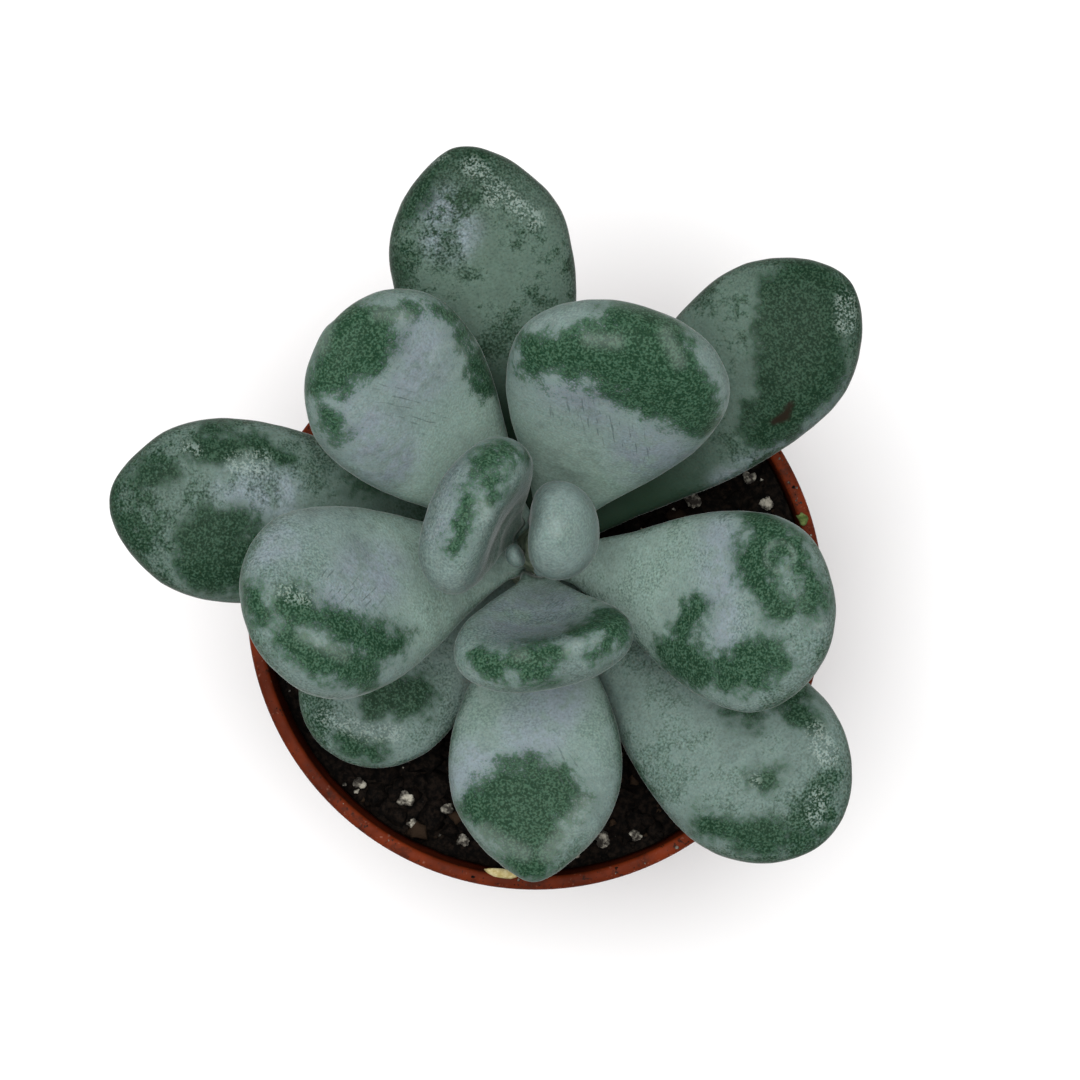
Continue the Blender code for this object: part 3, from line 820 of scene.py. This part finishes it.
def stem_material():
    bark = Shader("stem_skin", Roughness=0.75)
    here = bark.millimetres()
    rough = bark.noise(here, 0.9, 4.0, 0.6)
    bark.drive("Base Color", bark.mix(bark.ease(rough, 0.38, 0.62), (0.07, 0.10, 0.06), (0.19, 0.22, 0.15)))
    bark.bump(rough, 0.3 * MM, 0.6)
    return bark.material


# ---------------------------------------------------------------- pot


def wall_radius(height):
    return blend(FOOT_RADIUS, COLLAR_INSIDE + WALL - COLLAR_STEP, height / SHOULDER)


def pot_profile():
    """(radius, height, fillet) corners, from under the pot out, up, over the lip and in."""
    inner_foot = FOOT_RADIUS - FOOT_WIDTH
    lip_inside = RIM_RADIUS - LIP_WIDTH
    return [
        (PAD_RADIUS, 0, 0.2 * MM),
        (PAD_RADIUS + FOOT_HEIGHT / 2, FOOT_HEIGHT, 0.2 * MM),
        (inner_foot, FOOT_HEIGHT, 0.2 * MM),
        (inner_foot, 0, 0.2 * MM),
        (FOOT_RADIUS, 0, 0.5 * MM),
        (wall_radius(SHOULDER), SHOULDER, 0.3 * MM),
        (COLLAR_INSIDE + WALL, SHOULDER + ROUND, 0.4 * MM),
        (COLLAR_INSIDE + WALL + COLLAR_DRAFT, POT_HEIGHT - LIP_DEPTH, 0.2 * MM),
        (RIM_RADIUS, POT_HEIGHT - LIP_DEPTH, 0.5 * MM),
        (RIM_RADIUS, POT_HEIGHT, 0.55 * MM),
        (lip_inside, POT_HEIGHT, 0.45 * MM),
        (COLLAR_INSIDE, SHOULDER + 2 * ROUND, 0.3 * MM),
        (wall_radius(SHOULDER) - WALL, SHOULDER - ROUND, 0.3 * MM),
        (wall_radius(FLOOR_TOP) - WALL, FLOOR_TOP, 0.4 * MM),
    ]


def fillet(before, corner, after, radius):
    """Points on a smooth curve that cuts a corner at most radius away from it."""
    before, corner, after = Vector(before), Vector(corner), Vector(after)
    back = min(radius, 0.45 * (before - corner).length)
    ahead = min(radius, 0.45 * (after - corner).length)
    start = corner + (before - corner).normalized() * back
    end = corner + (after - corner).normalized() * ahead
    shares = [i / FILLET_STEPS for i in range(FILLET_STEPS + 1)]
    return [start * (1 - s) ** 2 + corner * 2 * s * (1 - s) + end * s**2 for s in shares]


def lathe(profile):
    """A closed body turned about the Z axis, flat across both ends of its profile."""
    turned = bmesh.new()
    loops = []
    for radius, height in profile:
        angles = [2 * math.pi * i / POT_SEGMENTS for i in range(POT_SEGMENTS)]
        loops.append([turned.verts.new((radius * math.cos(a), radius * math.sin(a), height)) for a in angles])
    for lower, upper in zip(loops, loops[1:]):
        for i in range(POT_SEGMENTS):
            j = (i + 1) % POT_SEGMENTS
            turned.faces.new((lower[i], lower[j], upper[j], upper[i]))
    turned.faces.new(loops[0])
    turned.faces.new(loops[-1])
    bmesh.ops.recalc_face_normals(turned, faces=turned.faces)
    return turned


def drain_cutter(index):
    cutter = bmesh.new()
    spin = 2 * math.pi * (index + 0.5) / DRAIN_COUNT
    place = Vector((DRAIN_CIRCLE * math.cos(spin), DRAIN_CIRCLE * math.sin(spin), FLOOR_TOP / 2))
    bmesh.ops.create_cone(
        cutter,
        cap_ends=True,
        segments=48,
        radius1=DRAIN_RADIUS,
        radius2=DRAIN_RADIUS,
        depth=4 * FLOOR_TOP,
        matrix=Matrix.Translation(place),
    )
    mesh = bpy.data.meshes.new("drain_cutter")
    cutter.to_mesh(mesh)
    cutter.free()
    made = bpy.data.objects.new("drain_cutter", mesh)
    bpy.context.scene.collection.objects.link(made)
    return made


def make_pot(surface):
    corners = pot_profile()
    outline = [corners[0][:2]]
    for before, corner, after in zip(corners, corners[1:], corners[2:]):
        outline += [tuple(point) for point in fillet(before[:2], corner[:2], after[:2], corner[2])]
    outline.append(corners[-1][:2])
    shell = lathe(outline)
    mesh = bpy.data.meshes.new("nursery_pot_shell")
    shell.to_mesh(mesh)
    shell.free()
    pot = bpy.data.objects.new("nursery_pot_shell", mesh)
    bpy.context.scene.collection.objects.link(pot)
    cutters = [drain_cutter(index) for index in range(DRAIN_COUNT)]
    for cutter in cutters:
        hole = pot.modifiers.new(cutter.name, "BOOLEAN")
        hole.operation = "DIFFERENCE"
        hole.object = cutter
    bpy.context.view_layer.update()
    drilled = bpy.data.meshes.new_from_object(pot.evaluated_get(bpy.context.evaluated_depsgraph_get()))
    pot.modifiers.clear()
    pot.data = drilled
    for cutter in cutters:
        bpy.data.objects.remove(cutter)
    drilled.shade_smooth()
    drilled.set_sharp_from_angle(angle=math.radians(35))
    drilled.materials.clear()
    drilled.materials.append(surface)
    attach(pot, "root")
    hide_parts("nursery_pot")


def pot_material():
    plastic = Shader("pot_plastic", Specular_IOR_Level=0.06)
    here = plastic.millimetres()
    cloud = plastic.noise(here, 0.12, 4.0, 0.6)
    fine = plastic.noise(here, 2.2, 3.0, 0.6)
    base = plastic.mix(plastic.ease(cloud, 0.35, 0.65), (0.074, 0.011, 0.003), (0.142, 0.021, 0.005))
    dust = plastic.product(plastic.ease(fine, 0.62, 0.74), 0.30)
    base = plastic.mix(dust, base, (0.36, 0.20, 0.15))
    height = plastic.node("SeparateXYZ", {0: here}).outputs["Z"]
    smears = plastic.ease(plastic.noise(here, 0.5, 5.0, 0.7), 0.54, 0.66, 0.0, 0.5)
    specks = plastic.ease(plastic.noise(here, 1.6, 3.0, 0.7), 0.60, 0.66, 0.0, 0.9)
    splashed = plastic.ease(height, 25.0, POT_HEIGHT / MM, 0.2, 1.0)
    dirt = plastic.product(plastic.math("MAXIMUM", smears, specks), splashed)
    plastic.drive("Base Color", plastic.mix(dirt, base, (0.020, 0.008, 0.005)))
    plastic.drive("Roughness", plastic.ease(fine, 0.3, 0.7, 0.52, 0.68))
    plastic.bump(fine, 0.05 * MM, 0.35)
    return plastic.material


# ---------------------------------------------------------------- soil


def soil_height(x, y):
    """Height of the soil's surface, as in the CAD part."""
    lumps = noise.fractal(Vector((x, y, 0)) / SOIL_LUMP, 1.0, 2.0, 3)
    return SOIL_TOP + SOIL_RELIEF * lumps + SOIL_SLOPE * x


def clods(point):
    """Roughness of the soil's surface over its even height."""
    return CLOD_RELIEF * noise.fractal(Vector(point) / CLOD_SIZE, 0.8, 2.0, 4)


def make_soil(surface):
    edge = COLLAR_INSIDE - SOIL_GAP
    sides = (
        (wall_radius(FLOOR_TOP) - WALL, FLOOR_TOP + SOIL_GAP),
        (wall_radius(SHOULDER) - WALL, SHOULDER - ROUND),
        (COLLAR_INSIDE, SHOULDER + 2 * ROUND),
    )
    points = []
    for radius, height in sides:
        for i in range(SOIL_SEGMENTS):
            turn = 2 * math.pi * i / SOIL_SEGMENTS
            reach = radius - SOIL_GAP
            points.append((reach * math.cos(turn), reach * math.sin(turn), height))
    for ring in range(SOIL_RINGS):
        reach = edge * (1 - ring / SOIL_RINGS)
        for i in range(SOIL_SEGMENTS):
            turn = 2 * math.pi * i / SOIL_SEGMENTS
            x, y = reach * math.cos(turn), reach * math.sin(turn)
            points.append((x, y, soil_height(x, y) + clods((x, y, 0))))
    points.append((0, 0, soil_height(0, 0)))
    faces = ring_faces(len(sides) + SOIL_RINGS, SOIL_SEGMENTS, closed_start=True, pole=True)
    piece = add_piece("potting_soil_bed", points, faces, surface, ["potting_soil"])
    turn_outward(piece.data)
    set_attribute(piece.data, "tone", np.zeros(len(points)))


def crumb_shape(rough, seed):
    """Vertices and faces of a lumpy grain of radius 1."""
    grain = bmesh.new()
    bmesh.ops.create_icosphere(grain, subdivisions=2, radius=1)
    for vert in grain.verts:
        vert.co *= 1 + rough * noise.noise(vert.co * 1.3 + Vector((seed * 5.1, 0, 0)))
    points = np.array([vert.co for vert in grain.verts])
    faces = [tuple(vert.index for vert in face.verts) for face in grain.faces]
    grain.free()
    return points, faces


def scatter(name, count, sizes, shapes, surface, draw, place):
    """One mesh of many small grains. place draws a spot for one of a given size."""
    vertices, faces, tones = [], [], []
    for _ in range(count):
        points, sides = draw.choice(shapes)
        size = blend(*sizes, draw.random() ** 2.5) * MM
        turn = Quaternion([draw.gauss(0, 1) for _ in range(4)]).normalized().to_matrix()
        stretch = np.array([size * draw.uniform(0.7, 1.3) for _ in range(3)])
        start = len(vertices)
        vertices.extend((points * stretch) @ np.array(turn).T + np.array(place(draw, size)))
        faces.extend(tuple(start + corner for corner in side) for side in sides)
        tones.extend([draw.random()] * len(points))
    piece = add_piece(name, vertices, faces, surface)
    set_attribute(piece.data, "tone", tones)
    return piece


def on_soil(draw, size):
    """A spot on the soil, the grain sunk a little into it."""
    reach = (COLLAR_INSIDE - SOIL_GAP - size) * math.sqrt(draw.random())
    turn = draw.uniform(0, 2 * math.pi)
    x, y = reach * math.cos(turn), reach * math.sin(turn)
    return x, y, soil_height(x, y) + clods((x, y, 0)) + 0.2 * size


def on_rim(draw, size):
    """A spot on the pot's lip, more often on the right."""
    turn = draw.gauss(0.2, 0.7) if draw.random() < 0.7 else draw.uniform(0, 2 * math.pi)
    reach = RIM_RADIUS - draw.uniform(0.35, 1.0) * MM
    return reach * math.cos(turn), reach * math.sin(turn), POT_HEIGHT - 0.4 * size


def soil_material():
    peat = Shader("peat", Roughness=0.9, Specular_IOR_Level=0.08)
    here = peat.millimetres()
    tone = peat.attribute("tone")
    mottle = peat.noise(here, 1.8, 4.0, 0.65)
    colour = peat.mix(peat.ease(mottle, 0.40, 0.68), (0.0012, 0.0009, 0.0007), (0.010, 0.0065, 0.0045))
    colour = peat.mix(peat.ease(tone, 0.80, 0.98), colour, (0.028, 0.017, 0.010))
    peat.drive("Base Color", colour)
    peat.bump(peat.noise(here, 4.0, 3.0), 0.15 * MM, 0.6)
    return peat.material


def perlite_material():
    stone = Shader("perlite_stone", Roughness=0.85)
    here = stone.millimetres()
    cloud = stone.noise(here, 1.1, 4.0, 0.6)
    colour = stone.mix(stone.ease(cloud, 0.42, 0.66), (0.016, 0.012, 0.008), (0.36, 0.34, 0.28))
    stone.drive("Base Color", colour)
    stone.bump(stone.noise(here, 4.0, 4.0, 0.6), 0.10 * MM, 0.5)
    return stone.material


def make_perlite(surface):
    """Replaces each CAD crumb with a rougher one in the same place."""
    names = sorted(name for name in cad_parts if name.startswith("perlite_crumb"))
    for seed, name in enumerate(names):
        low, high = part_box(name)
        grain = bmesh.new()
        bmesh.ops.create_icosphere(grain, subdivisions=4, radius=1)
        for vert in grain.verts:
            lump = noise.fractal(vert.co * 0.9 + Vector((seed * 7.3, 0, 0)), 0.8, 2.0, 4)
            vert.co *= min(1.0, 0.72 + 0.50 * lump)
        centre, half = (low + high) / 2, (high - low) / 2
        points = [centre + vert.co * half for vert in grain.verts]
        faces = [tuple(vert.index for vert in face.verts) for face in grain.faces]
        grain.free()
        add_piece(name + "_stone", points, faces, surface, [name])


def make_litter(peat, stone):
    draw = random.Random(11)
    shapes = [crumb_shape(0.8, seed) for seed in range(8)]
    scatter("peat_crumbs", 1500, (0.2, 1.2), shapes, peat, draw, on_soil)
    scatter("perlite_dust", 220, (0.08, 0.40), shapes, stone, draw, on_soil)
    scatter("rim_dust", 60, (0.05, 0.16), shapes, stone, draw, on_rim)
    scatter("rim_dirt", 50, (0.06, 0.22), shapes, peat, draw, on_rim)
    make_fibres(draw, plain_material("root_fibre", (0.10, 0.075, 0.05), (0.24, 0.20, 0.15)))
    make_chip("husk_chip", HUSK_PLACE, HUSK_SIZE, (0.42, 0.33, 0.13), (0.62, 0.54, 0.30))
    make_chip("moss_bit", MOSS_PLACE, MOSS_SIZE, (0.05, 0.08, 0.02), (0.14, 0.19, 0.06))


def plain_material(name, dark, light):
    """A matt, mottled material."""
    matt = Shader(name, Roughness=0.85, Specular_IOR_Level=0.1)
    mottle = matt.noise(matt.millimetres(), 1.6, 4.0, 0.6)
    matt.drive("Base Color", matt.mix(matt.ease(mottle, 0.36, 0.64), dark, light))
    return matt.material


def make_chip(name, place, size, dark, light):
    """One lumpy bit, its place given as azimuth, distance from the axis and height."""
    azimuth, distance, height = place
    turn = math.radians(azimuth)
    centre = np.array((distance * math.cos(turn), distance * math.sin(turn), height)) * MM
    points, faces = crumb_shape(0.7, azimuth)
    points = points * np.array(size) * MM / 2
    across = np.array(Matrix.Rotation(turn + math.pi / 2, 3, "Z"))
    add_piece(name, points @ across.T + centre, faces, plain_material(name, dark, light))


def fibre_points(draw):
    """A gently bent run of points over the soil."""
    x, y, _ = on_soil(draw, FIBRE_RADIUS)
    heading, bend = draw.uniform(0, 2 * math.pi), draw.uniform(-FIBRE_BEND, FIBRE_BEND)
    run = []
    for _ in range(FIBRE_STEPS):
        if math.hypot(x, y) > COLLAR_INSIDE - 2 * SOIL_GAP:
            break
        run.append(Vector((x, y, soil_height(x, y) + clods((x, y, 0)) + FIBRE_LIFT)))
        x += FIBRE_STEP * math.cos(heading)
        y += FIBRE_STEP * math.sin(heading)
        heading += bend
    return run


def make_fibres(draw, surface):
    """Fine roots and threads of peat lying on the soil, as one mesh of thin tubes."""
    vertices, faces = [], []
    for _ in range(FIBRE_COUNT):
        run = fibre_points(draw)
        if len(run) < 4:
            continue
        start = len(vertices)
        for before, after in zip(run, run[1:]):
            along = (after - before).normalized()
            side = along.cross(Vector((0, 0, 1))).normalized()
            for i in range(FIBRE_SIDES):
                turn = 2 * math.pi * i / FIBRE_SIDES
                offset = side * math.cos(turn) + side.cross(along) * math.sin(turn)
                vertices.append(before + offset * FIBRE_RADIUS)
        tube = ring_faces(len(run) - 1, FIBRE_SIDES, closed_start=True, pole=False)
        tube.append(tuple((len(run) - 2) * FIBRE_SIDES + i for i in range(FIBRE_SIDES)))
        faces.extend(tuple(start + corner for corner in face) for face in tube)
    turn_outward(add_piece("root_fibres", vertices, faces, surface).data)


# ---------------------------------------------------------------- studio

CAMERA_PLACE = Vector((0.447, 5.83, 499.0)) * MM
CAMERA_LENS = 157.6
FLOOR_SIZE = 1.6
LAMP_SIZE = 1.2
LAMP_PLACE = Vector((-0.10, 0.10, 1.5))
LAMP_POWER = 29.0
WORLD_LIGHT = 0.28


def make_floor():
    """A wide floor that curves gently upwards far from the object."""
    steps = 40
    points = []
    for row in range(steps + 1):
        for column in range(steps + 1):
            x = (column / steps - 0.5) * FLOOR_SIZE
            y = (row / steps - 0.5) * FLOOR_SIZE
            rise = max(0.0, math.hypot(x, y) - 0.45) ** 2
            points.append((x, y, 0.4 * rise))
    width = steps + 1
    corners = [row * width + column for row in range(steps) for column in range(steps)]
    faces = [(i, i + 1, i + 1 + width, i + width) for i in corners]
    paper = Shader("studio_paper", Roughness=0.9, Specular_IOR_Level=0.1)
    mottle = paper.noise(paper.millimetres(), 0.02, 2.0)
    paper.drive("Base Color", paper.mix(mottle, (0.93, 0.93, 0.93), (0.95, 0.95, 0.95)))
    mesh = bpy.data.meshes.new("studio_floor")
    mesh.from_pydata(points, [], faces)
    mesh.shade_smooth()
    mesh.materials.append(paper.material)
    floor = bpy.data.objects.new("studio_floor", mesh)
    bpy.context.scene.collection.objects.link(floor)


def make_lights():
    world = bpy.data.worlds.new("studio_air")
    world.use_nodes = True
    world.node_tree.nodes["Background"].inputs["Color"].default_value = (1, 1, 1, 1)
    world.node_tree.nodes["Background"].inputs["Strength"].default_value = WORLD_LIGHT
    bpy.context.scene.world = world
    lamp = bpy.data.lights.new("overhead_softbox", "AREA")
    lamp.shape = "DISK"
    lamp.size = LAMP_SIZE
    lamp.energy = LAMP_POWER
    softbox = bpy.data.objects.new("overhead_softbox", lamp)
    softbox.location = LAMP_PLACE
    softbox.rotation_euler = (-LAMP_PLACE).to_track_quat("-Z", "Y").to_euler()
    bpy.context.scene.collection.objects.link(softbox)


def make_camera():
    lens = bpy.data.cameras.new("overhead_camera")
    lens.lens = CAMERA_LENS
    lens.sensor_width = 36
    lens.clip_start = 0.01
    camera = bpy.data.objects.new("overhead_camera", lens)
    camera.location = CAMERA_PLACE
    bpy.context.scene.collection.objects.link(camera)
    bpy.context.scene.camera = camera
    bpy.context.scene.view_settings.view_transform = "Standard"


leaf_skin = leaf_material()
for number, leaf in enumerate(LEAVES, start=1):
    make_leaf(leaf, number, leaf_skin)
make_stem(stem_material())
make_pot(pot_material())
peat_skin = soil_material()
stone_skin = perlite_material()
make_soil(peat_skin)
make_perlite(stone_skin)
make_litter(peat_skin, stone_skin)
make_floor()
make_lights()
make_camera()
